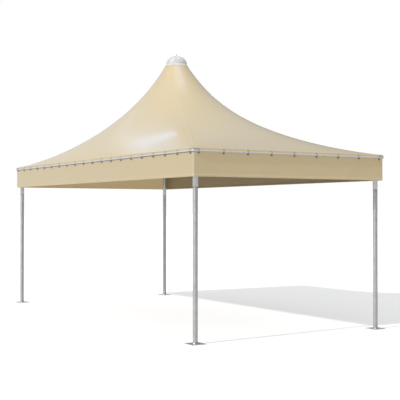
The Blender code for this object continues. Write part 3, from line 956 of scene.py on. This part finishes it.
class TENT_OT_posts(TentStep, bpy.types.Operator):
    """Build the posts with their sleeves, seals, welds and base plates"""

    bl_idname = "tent.posts"
    bl_label = "Posts"

    SIDES = 48
    # Each weld's distance out, thickness and number of ripples
    FOOT_WELD = (0.0016, 0.0036, 34)
    FOOT_WELD_LIFT = 0.0012
    SLEEVE_WELD = (0.0008, 0.0032, 36)
    SLEEVE_WELD_SINK = 0.0035
    SLEEVE_CHAMFER = (0.0022, 0.004)
    SLEEVE_EDGE = 0.001
    BOLT_LEVELS = (2.070, 2.330)
    BOLT_SINK = 0.0008
    SEAL_HEIGHT = 0.007
    SEAL_LIP = 0.0016
    SEAL_TAPER = 0.8
    SEAL_FAT = 0.0026
    ANCHOR_RADIUS = 0.007
    ANCHOR_INSET = 0.022
    ANCHOR_LIP = 0.001
    ANCHOR_SINK = 0.003
    PLATE_ROUND = 0.0012

    def execute(self, context):
        blank = self.plate_mesh()
        for name, (side_x, side_y) in CORNERS.items():
            foot = Vector((side_x * HALF_X, side_y * HALF_Y, 0))
            place = Matrix.Translation(foot)
            post = Form()
            profile = tube_profile(POST_RADIUS, TUBE_WALL, POST_LOW.z, POST_HIGH.z)
            post.turned(profile, place, self.SIDES, shut=True)
            post.weld(raised(place, POST_LOW.z + self.FOOT_WELD_LIFT), POST_RADIUS, *self.FOOT_WELD)
            post.piece(f"tube_post_{name}", "galvanised_steel", [f"post_{name}"])
            self.build_sleeve(name, foot, place, Vector((-side_x, 0, 0)))
            plate = Form()
            plate.mesh.from_mesh(blank)
            bmesh.ops.translate(plate.mesh, verts=plate.mesh.verts, vec=foot)
            plate.piece(f"foot_plate_{name}", "galvanised_steel", [f"base_plate_{name}"])
        return {"FINISHED"}

    def build_sleeve(self, name, foot, place, inward):
        """The sleeve with a chamfered lip and two fixing bolts, and the dark seal ring under it."""
        low, high, edge = SLEEVE_LOW.z, SLEEVE_HIGH.z, self.SLEEVE_EDGE
        bore = POST_RADIUS + GAP
        chamfer, rise = self.SLEEVE_CHAMFER
        profile = [(SLEEVE_RADIUS, low + rise), (SLEEVE_RADIUS, high - edge), (SLEEVE_RADIUS - edge, high),
                   (bore, high), (bore, low), (SLEEVE_RADIUS - chamfer, low)]
        form = Form()
        form.turned(profile, place, self.SIDES, shut=True)
        form.weld(raised(place, high - self.SLEEVE_WELD_SINK), SLEEVE_RADIUS, *self.SLEEVE_WELD)
        for level in self.BOLT_LEVELS:
            spot = foot + inward * (SLEEVE_RADIUS - self.BOLT_SINK) + UP * level
            form.hex_bolt(facing(spot, inward), *FRAME_BOLT)
        form.piece(f"top_sleeve_{name}", "galvanised_steel", [f"post_sleeve_{name}"])
        seal = Form()
        fat, deep = POST_RADIUS + self.SEAL_FAT, self.SEAL_HEIGHT
        lip = [(bore, low - deep), (POST_RADIUS + self.SEAL_LIP, low - deep * self.SEAL_TAPER),
               (fat, low - edge), (fat, low - GAP), (bore, low - GAP)]
        seal.turned(lip, place, self.SIDES, shut=True)
        seal.piece(f"post_seal_{name}", "knob")

    def plate_mesh(self):
        """One base plate with four anchor holes, made at the origin."""
        blank, drill = Form(), Form()
        blank.block((-PLATE_HALF, -PLATE_HALF, 0), (PLATE_HALF, PLATE_HALF, PLATE_THICK), self.PLATE_ROUND)
        reach, radius, sink = PLATE_HALF - self.ANCHOR_INSET, self.ANCHOR_RADIUS, self.ANCHOR_SINK
        lip, top = self.ANCHOR_LIP, PLATE_THICK
        bit = [(radius, -top), (radius, top - lip), (radius + lip, top), (radius + lip + sink, top + sink)]
        for side_x, side_y in CORNERS.values():
            drill.turned(bit, Matrix.Translation((side_x * reach, side_y * reach, 0)), 24)
        blank, drill = blank.plain("plate_blank"), drill.plain("plate_holes")
        cut = blank.modifiers.new("Holes", "BOOLEAN")
        cut.operation = "DIFFERENCE"
        cut.solver = "EXACT"
        cut.object = drill
        bpy.context.view_layer.update()
        made = bpy.data.meshes.new_from_object(blank.evaluated_get(bpy.context.evaluated_depsgraph_get()))
        for item in (blank, drill):
            bpy.data.objects.remove(item)
        return made


class TENT_OT_beams(TentStep, bpy.types.Operator):
    """Build the eave beams and the corner heads that join them"""

    bl_idname = "tent.beams"
    bl_label = "Beams and Heads"

    ROUND = 0.004
    INNER_ROUND = 0.002
    ROUND_STEPS = 4
    BOLT_REACHES = (0.030, 0.095)
    SPIGOT = 0.120
    SPIGOT_ROUND = 0.002
    HEAD_ROUND = 0.003
    SOCKET_ROUND = 0.0015
    WELD_SINK = 0.002
    WELD = (0.001, 0.003, 20)

    def execute(self, context):
        for name, (axis, sign) in SIDES.items():
            self.build_beam(name, axis, sign)
        for name in CORNERS:
            self.build_head(name)
        return {"FINISHED"}

    def rounded(self, half_width, half_height, radius):
        """Points of a rounded rectangle about the origin."""
        points = []
        for index, (side_x, side_y) in enumerate(((1, 1), (-1, 1), (-1, -1), (1, -1))):
            centre = Vector((side_x * (half_width - radius), side_y * (half_height - radius)))
            for turn in quarter(self.ROUND_STEPS):
                points.append(centre + polar(radius, index * math.pi / 2 + turn).xy)
        return points

    def build_beam(self, name, axis, sign):
        """A box tube with rounded edges, and the bolts that hold the heads' spigots."""
        low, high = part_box(f"{name}_beam")
        middle, size = (low + high) / 2, (high - low) / 2
        half, width = size[axis], size[1 - axis]
        run, out = side_directions(axis, sign)
        outer = self.rounded(width, size.z, self.ROUND)
        inner = self.rounded(width - TUBE_WALL, size.z - TUBE_WALL, self.INNER_ROUND)
        form = Form()
        ends = ((outer, -half), (outer, half), (inner, half), (inner, -half))
        form.loft([[middle + run * along + out * side + UP * level for side, level in section]
                   for section, along in ends], shut=True)
        for reach in self.BOLT_REACHES:
            for along in (reach - half, half - reach):
                form.hex_bolt(facing(middle - out * width + run * along, -out), *FRAME_BOLT)
        form.piece(f"{name}_eave_beam", "beam_aluminium", [f"{name}_beam"])

    def build_head(self, name):
        """The block on the post, with its spigots in the beams and the stay's threaded socket."""
        side_x, side_y = CORNERS[name]
        centre = Matrix.Diagonal((side_x, side_y, 1, 1)) @ Matrix.Translation((HALF_X, HALF_Y, 0))
        skin = TUBE_WALL + 2 * GAP
        near, far = BEAM_OUTER - skin, BEAM_OUTER - BEAM_WIDTH + skin
        low, high = BEAM_LOW.z + skin, BEAM_HIGH.z - skin
        reach = HEAD_INNER + self.SPIGOT
        form = Form()
        form.block((-HEAD_INNER, -HEAD_INNER, BEAM_LOW.z), (BEAM_OUTER, BEAM_OUTER, BEAM_HIGH.z),
                   self.HEAD_ROUND, centre)
        form.block((0, near, low), (-reach, far, high), self.SPIGOT_ROUND, centre)
        form.block((near, 0, low), (far, -reach, high), self.SPIGOT_ROUND, centre)
        start, along, length = stay_line(name)
        socket = facing(start + along * (length - HEAD_SOCKET), along)
        radius, mouth = SOCKET_RADIUS, self.SOCKET_ROUND
        form.turned([(radius - mouth, 0), (radius, mouth), (radius, HEAD_SOCKET)], socket)
        form.weld(raised(socket, HEAD_SOCKET - HEAD_INNER - self.WELD_SINK), radius, *self.WELD)
        form.piece(f"head_block_{name}", "galvanised_steel", [f"corner_head_{name}"])


def stay_line(name):
    """A stay's start inside the mast foot, its unit direction, and its length to the corner head."""
    side_x, side_y = CORNERS[name]
    low = Vector((0, 0, STAY_LOW_Z))
    along = Vector((side_x * HALF_X, side_y * HALF_Y, (BEAM_LOW.z + BEAM_HIGH.z) / 2)) - low
    return low, along.normalized(), along.length


class TENT_OT_stays(TentStep, bpy.types.Operator):
    """Build the stay cables as laid wire rope, with their ferrules and turnbuckles"""

    bl_idname = "tent.stays"
    bl_label = "Stays"

    STRANDS = 6
    LAY = 0.060
    STEPS_PER_LAY = 9
    VALLEY = 0.80
    PITCH = 0.00175
    STUD_RADIUS = 0.0060
    ROOT_RADIUS = 0.00528
    SHOULDER = 0.045
    # Radius and height along each part; the body's radius is a share, and its height is from the shoulder
    FERRULE = ((0.0058, 0), (0.0064, 0.001), (0.0064, 0.036), (0.0050, 0.044), (0.0044, 0.046))
    NUT = ((0.0098, 0.0), (0.0104, 0.0008), (0.0104, 0.0072), (0.0098, 0.008))
    NUT_CLEAR = 0.0002
    HALF_BODY = ((0.70, 0.0), (0.92, 0.002), (1.0, 0.007), (1.0, 0.022), (0.84, 0.028))

    def execute(self, context):
        for name in CORNERS:
            start, along, length = stay_line(name)
            screw_start = length - HEAD_SOCKET - GAP - TURNBUCKLE_LENGTH
            first, last = FOOT_SOCKET + GAP, screw_start - GAP
            self.build_cable(name, facing(start + along * first, along), last - first)
            self.build_turnbuckle(name, facing(start + along * screw_start, along))
        return {"FINISHED"}

    def build_cable(self, name, place, length):
        """A rope of six strands that wind round it, with a pressed ferrule on each end."""
        steps = round(length / self.LAY * self.STEPS_PER_LAY)
        rings = []
        for step in range(steps + 1):
            level = length * step / steps
            twist = 2 * math.pi * level / self.LAY
            rings.append([place @ polar(CABLE_RADIUS * (self.VALLEY if index % 2 else 1), twist + turn, level)
                          for index, turn in enumerate(turns(self.STRANDS * 2))])
        form = Form()
        form.loft(rings, caps=True)
        form.turned(self.FERRULE, place, 24)
        form.turned(self.FERRULE, raised(place, length) @ Matrix.Rotation(math.pi, 4, "X"), 24)
        form.piece(f"wire_stay_{name}", "cable_steel", [f"stay_cable_{name}"], angle=50.0)

    def build_turnbuckle(self, name, place):
        """A closed screw body with lock nuts and two threaded studs."""
        total, shoulder = TURNBUCKLE_LENGTH, self.SHOULDER
        form = Form()
        half = [(TURNBUCKLE_RADIUS * share, shoulder + level) for share, level in self.HALF_BODY]
        form.turned(half + [(radius, total - level) for radius, level in reversed(half)], place)
        crests = int(shoulder / self.PITCH)
        for low in (0.0, total - shoulder):
            thread = []
            for crest in range(crests):
                level = low + shoulder * crest / crests
                thread += [(self.ROOT_RADIUS, level), (self.STUD_RADIUS, level + self.PITCH / 2)]
            form.turned([*thread, (self.ROOT_RADIUS, low + shoulder)], place, 16)
        for level in (shoulder - self.NUT[-1][1] - self.NUT_CLEAR, total - shoulder + self.NUT_CLEAR):
            form.turned(self.NUT, raised(place, level), 6)
        form.piece(f"screw_{name}", "cable_steel", [f"turnbuckle_{name}"])


class TENT_OT_mast(TentStep, bpy.types.Operator):
    """Build the flying mast, its foot and the hoop that spreads the membrane's top"""

    bl_idname = "tent.mast"
    bl_label = "Flying Mast"

    SIDES = 48
    FOOT_BORE = 0.010
    DOME = 0.012
    EDGE = 0.002
    TIP = 0.003
    SOCKET_ROUND = 0.0015
    WELD_LIFT = 0.0005
    WELD = (0.0008, 0.0028, 20)
    HUB_STEP = 0.0048
    HUB_EDGE = 0.001
    SPOKE_ROUND = 0.001
    HOOP_SIDES = 72
    HOOP_ROUND = 0.0018

    def execute(self, context):
        mast = Form()
        profile = tube_profile(MAST_RADIUS, TUBE_WALL, MAST_LOW.z, MAST_HIGH.z)
        mast.turned(profile, sides=self.SIDES, shut=True)
        mast.piece("mast_tube", "galvanised_steel", ["mast"])
        self.build_foot()
        self.build_hoop()
        return {"FINISHED"}

    def build_foot(self):
        """A turned plug with a domed underside and four stay sockets with their welds."""
        low, tip = FOOT_LOW.z, FOOT_HIGH.z
        shoulder, spigot = low + FOOT_HEIGHT, MAST_RADIUS - TUBE_WALL - 2 * GAP
        radius, dome, edge = FOOT_RADIUS, self.DOME, self.EDGE
        profile = [(self.FOOT_BORE, low)]
        profile += [(radius - dome + dome * math.sin(turn), low + dome - dome * math.cos(turn))
                    for turn in quarter(6)]
        profile += [(radius, shoulder - edge), (radius - edge, shoulder), (spigot, shoulder),
                    (spigot, tip - self.TIP), (spigot - self.TIP, tip)]
        form = Form()
        form.turned(profile, sides=self.SIDES)
        inside = radius / 2
        reach, mouth = FOOT_SOCKET - inside, self.SOCKET_ROUND
        socket = [(SOCKET_RADIUS, 0), (SOCKET_RADIUS, reach - mouth), (SOCKET_RADIUS - mouth, reach)]
        for name in CORNERS:
            start, along, _ = stay_line(name)
            place = facing(start + along * inside, along)
            form.turned(socket, place)
            form.weld(raised(place, inside + self.WELD_LIFT), SOCKET_RADIUS, *self.WELD)
        form.piece("mast_foot_plug", "galvanised_steel", ["mast_foot"])

    def build_hoop(self):
        """A hub on the mast, four flat spokes, and the rolled hoop inside the membrane's top edge."""
        top = HOOP_HIGH.z
        edge, bore, roof = self.EDGE, MAST_RADIUS + 2 * GAP, MAST_HIGH.z + 2 * GAP
        hub = [(HUB_RADIUS, HUB_LOW_Z + self.HUB_EDGE), (HUB_RADIUS, HUB_TOP_Z - edge),
               (HUB_RADIUS - edge, HUB_TOP_Z), (edge, HUB_TOP_Z), (edge, roof), (bore, roof),
               (bore, HUB_LOW_Z), (bore + self.HUB_STEP, HUB_LOW_Z)]
        form = Form()
        form.turned(hub, sides=self.SIDES, shut=True)
        low, half = top - HOOP_HEIGHT + SPOKE_RISE, SPOKE_WIDTH / 2
        start = (HUB_RADIUS - self.TIP, -half, low)
        end = (HOOP_RADIUS - HOOP_THICK / 2, half, low + SPOKE_THICK)
        for turn in turns(4):
            form.block(start, end, self.SPOKE_ROUND, Matrix.Rotation(turn, 4, "Z"))
        band = tube_profile(HOOP_RADIUS, HOOP_THICK, top - HOOP_HEIGHT, top, self.HOOP_ROUND)
        form.turned(band, sides=self.HOOP_SIDES, shut=True)
        form.piece("top_hoop_frame", "galvanised_steel", ["top_hoop"])


class TENT_OT_cap(TentStep, bpy.types.Operator):
    """Build the moulded peak cap with its shallow ribs, its skirt and its pin"""

    bl_idname = "tent.cap"
    bl_label = "Peak Cap"

    RIB_DEPTH = 0.0045
    RIB_START = 0.035
    RIB_DROP = 0.4
    RIB_FADE = 0.6
    RIB_AT_RIM = 0.1
    WALL = 0.003
    STEPS = 22
    PER_GORE = 10
    SKIRT_DROP = 0.018
    SKIRT_CLEAR = 0.0014
    SKIRT_EDGE = 0.0006
    RIM_EDGE = 0.001
    RIM_ROUND = 0.004
    PIN_RADIUS = 0.0062
    PIN_SINK = 0.003
    # Share of the pin's radius, and height from its top
    PIN_TIP = ((1.0, -0.005), (0.9, -0.002), (0.5, 0.0))
    # Radius, and height from the crown
    BOSS = ((0.016, -0.005), (0.0155, 0.0005), (0.0120, 0.0030), (0.002, 0.0034))

    def execute(self, context):
        self.build_dome(context.scene.tent_sizes.cap_gores)
        self.build_pin()
        return {"FINISHED"}

    def skirt_ring(self, drop, lift, sides):
        """A ring round the cloth, at a distance below its top and a lift off it."""
        slope = (CAP_SEAT_Z - EAVE_EDGE_Z) * (1 - BELLY)
        ring = canopy_ring(eave_outline(), 1 - drop / slope)
        spot = ring[:, 0] + 1j * ring[:, 1]
        reach = np.interp(turns(sides), np.unwrap(np.angle(spot)), np.abs(spot), period=2 * math.pi)
        return [polar(out + lift, turn, CAP_SEAT_Z - drop) for out, turn in zip(reach, turns(sides))]

    def build_dome(self, gores):
        """A thin dome of shallow gores over a plain rim, with a skirt that laps over the cloth."""
        rim_high = CAP_SEAT_Z + CAP_RIM
        crown = CAP_HIGH.z - PIN_HEIGHT
        rise = crown - rim_high
        sides = gores * self.PER_GORE

        def ring(radius, level, ribs=0.0):
            points = []
            for turn in turns(sides):
                hollow = self.RIB_DEPTH * ribs * (abs(math.sin(gores * turn / 2)) - 1)
                points.append(polar(radius + hollow, turn, level + self.RIB_DROP * hollow))
            return points

        def skirt(drop, lift):
            return self.skirt_ring(drop, lift, sides)

        drop, clear, edge = self.SKIRT_DROP, self.SKIRT_CLEAR, self.SKIRT_EDGE
        rim, bend, radius, low = self.RIM_EDGE, self.RIM_ROUND, CAP_RADIUS, CAP_LOW.z
        thick = clear + self.WALL
        outer = [skirt(drop, clear + edge), skirt(drop, thick - edge), skirt(drop - 2 * edge, thick),
                 skirt(drop / 2, thick), ring(radius + thick, low + rim),
                 ring(radius + thick - 2 * rim, low + bend), ring(radius, rim_high - bend),
                 ring(radius - 2.5 * rim, rim_high - rim, self.RIB_AT_RIM)]
        inner = [skirt(drop - rim, clear), skirt(drop / 2, clear), ring(radius + clear, low),
                 ring(radius - self.WALL, low + rim / 2)]
        for step in range(self.STEPS + 1):
            lean = math.pi / 2 - (math.pi / 2 - self.RIB_START) * step / self.STEPS
            ribs = math.sin(2 * lean) ** self.RIB_FADE if step else 0.0
            dome = radius - self.WALL
            outer.append(ring(dome * math.sin(lean), rim_high + rise * math.cos(lean), ribs))
            dome, height = dome - self.WALL, rise - self.WALL
            inner.append(ring(dome * math.sin(lean), rim_high + height * math.cos(lean), ribs))
        form = Form()
        form.loft([*outer, *inner[::-1]], shut=True)
        form.turned([(radius, crown + level) for radius, level in self.BOSS])
        form.piece("peak_cap_dome", "cap_plastic", ["peak_cap"], angle=28.0)

    def build_pin(self):
        """The steel pin on the crown, with its washer and nut."""
        top, radius = CAP_HIGH.z, self.PIN_RADIUS
        seat = top - PIN_HEIGHT + self.BOSS[-1][1]
        form = Form()
        form.hex_bolt(Matrix.Translation((0, 0, seat)), *PIN_NUT)
        tip = [(radius * share, top + level) for share, level in self.PIN_TIP]
        form.turned([(radius, seat - self.PIN_SINK), *tip], sides=24)
        form.piece("cap_pin", "fitting")


class TENT_OT_stage(TentStep, bpy.types.Operator):
    """Set the studio: a pale floor, soft lamps, a white surround and the camera"""

    bl_idname = "tent.stage"
    bl_label = "Studio"

    FLOOR_HALF = 400.0
    CAMERA_PLACE = (13.246, -7.488, 1.683)
    CAMERA_AZIMUTH = 59.063
    CAMERA_PITCH = 0.6905
    CAMERA_LENS = 83.36
    CAMERA_SENSOR = 36.0
    CAMERA_REACH = 2000.0
    # Turn from -Y towards +X, elevation, strength, angle across, shadow, shown in gloss
    LAMPS = {
        "soft_sun": (6.0, 33.0, 4.08, 2.0, True, True),
        "side_fill": (86.0, 3.0, 3.2, 20.0, False, False),
        "overhead": (90.0, 87.0, 0.43, 31.0, False, True),
    }
    SKY_TINT = (0.54, 0.86, 1.46)
    # The surround's light above and below the horizon, on the camera's left and right
    HIGH_LEVELS = (0.79, 0.70)
    LOW_LEVELS = (0.76, 0.04)
    HIGH_EDGES = (-0.03, 0.55)
    RIGHT_EDGES = (-0.20, 0.15)
    STRIP_TURN = -106.0
    STRIP_LIFT = 29.5
    STRIP_TILT = -14.0
    STRIP_LEVEL = 2.5
    STRIP_LONG = (0.20, 0.08)
    STRIP_WIDE = (0.042, 0.008)

    def execute(self, context):
        scene = context.scene
        scene.view_settings.view_transform = "Standard"
        self.build_floor(scene)
        for name, lamp in self.LAMPS.items():
            self.build_lamp(scene, name, *lamp)
        self.build_surround(scene)
        self.build_camera(scene)
        return {"FINISHED"}

    @staticmethod
    def sight(turn, lift):
        """The unit direction at a turn from -Y towards +X and a lift above the horizon, in degrees."""
        turn, lift = math.radians(turn), math.radians(lift)
        return Vector((math.sin(turn) * math.cos(lift), -math.cos(turn) * math.cos(lift), math.sin(lift)))

    def build_floor(self, scene):
        form = Form()
        bmesh.ops.create_grid(form.mesh, x_segments=8, y_segments=8, size=self.FLOOR_HALF)
        floor = form.plain("studio_floor")
        floor.data.materials.append(floor_finish(scene.tent_colours))
        floor.visible_diffuse = False

    def build_lamp(self, scene, name, turn, lift, strength, angle, shadow, gloss):
        light = bpy.data.lights.new(name, "SUN")
        light.energy = strength
        if not shadow and gloss:
            light.color = self.SKY_TINT
        light.angle = math.radians(angle)
        light.use_shadow = shadow
        item = bpy.data.objects.new(name, light)
        item.rotation_euler = (-self.sight(turn, lift)).to_track_quat("-Z", "Y").to_euler()
        item.visible_glossy = gloss
        scene.collection.objects.link(item)

    def build_surround(self, scene):
        """White to the eye; its light fades low on the right, with one long soft box behind the tent."""
        world = bpy.data.worlds.new("studio_surround")
        graph = Graph(world)
        direction = graph.place("Generated")

        def along(axis):
            return graph.vectors("DOT_PRODUCT", direction, tuple(axis), output="Value")

        right = graph.rise(along(self.sight(self.CAMERA_AZIMUTH + 90, 0)), *self.RIGHT_EDGES)
        above = graph.rise(along(UP), *self.HIGH_EDGES)
        high, low = (left - right * (left - far) for left, far in (self.HIGH_LEVELS, self.LOW_LEVELS))
        centre = self.sight(self.STRIP_TURN, self.STRIP_LIFT)
        tilt = Matrix.Rotation(math.radians(self.STRIP_TILT), 3, centre)
        long_way = tilt @ UP.cross(centre).normalized()
        wide_way = centre.cross(long_way)
        strip = graph.rise(abs(along(long_way)), *self.STRIP_LONG)
        strip = strip * graph.rise(abs(along(wide_way)), *self.STRIP_WIDE)
        light = low * (1 - above) + high * above + strip * (along(centre) > 0) * self.STRIP_LEVEL
        seen = graph.node("ShaderNodeLightPath", output="Is Camera Ray")
        tint = graph.blend(strip * (1 - seen), WHITE, rgba(self.SKY_TINT))
        strength = light * (1 - seen) + seen
        shade = graph.node("ShaderNodeBackground", None, {"Color": tint, "Strength": strength})
        graph.node("ShaderNodeOutputWorld", None, {"Surface": shade})
        scene.world = world

    def build_camera(self, scene):
        lens = bpy.data.cameras.new("photo_camera")
        lens.lens = self.CAMERA_LENS
        lens.sensor_width = self.CAMERA_SENSOR
        lens.clip_end = self.CAMERA_REACH
        camera = bpy.data.objects.new("photo_camera", lens)
        camera.location = self.CAMERA_PLACE
        look = -self.sight(self.CAMERA_AZIMUTH, -self.CAMERA_PITCH)
        camera.rotation_euler = look.to_track_quat("-Z", "Y").to_euler()
        scene.collection.objects.link(camera)
        scene.camera = camera


OPERATORS = (TENT_OT_stage, TENT_OT_roof, TENT_OT_valances, TENT_OT_eave_rods, TENT_OT_eave_clips,
             TENT_OT_posts, TENT_OT_beams, TENT_OT_stays, TENT_OT_mast, TENT_OT_cap)


class TENT_PT_panel(bpy.types.Panel):
    """Lists the tent's sizes, colours and building steps"""

    bl_idname = "TENT_PT_panel"
    bl_label = "Marquee Tent"
    bl_space_type = "VIEW_3D"
    bl_region_type = "UI"
    bl_category = "Tent"

    def draw(self, context):
        for group in (context.scene.tent_sizes, context.scene.tent_colours):
            column = self.layout.column(align=True)
            for key in group.__annotations__:
                column.prop(group, key)
        steps = self.layout.column(align=True)
        for operator in OPERATORS:
            steps.operator(operator.bl_idname)


CLASSES = (TentSizes, TentColours, *OPERATORS, TENT_PT_panel)


def register():
    for item in CLASSES:
        bpy.utils.register_class(item)
    bpy.types.Scene.tent_sizes = bpy.props.PointerProperty(type=TentSizes)
    bpy.types.Scene.tent_colours = bpy.props.PointerProperty(type=TentColours)


def unregister():
    del bpy.types.Scene.tent_colours
    del bpy.types.Scene.tent_sizes
    for item in reversed(CLASSES):
        bpy.utils.unregister_class(item)


def main():
    register()
    bpy.ops.tent.stage()
    bpy.ops.tent.roof()
    bpy.ops.tent.valances()
    bpy.ops.tent.eave_rods()
    bpy.ops.tent.eave_clips()
    bpy.ops.tent.posts()
    bpy.ops.tent.beams()
    bpy.ops.tent.stays()
    bpy.ops.tent.mast()
    bpy.ops.tent.cap()
    bpy.context.view_layer.update()


if __name__ == "__main__":
    main()
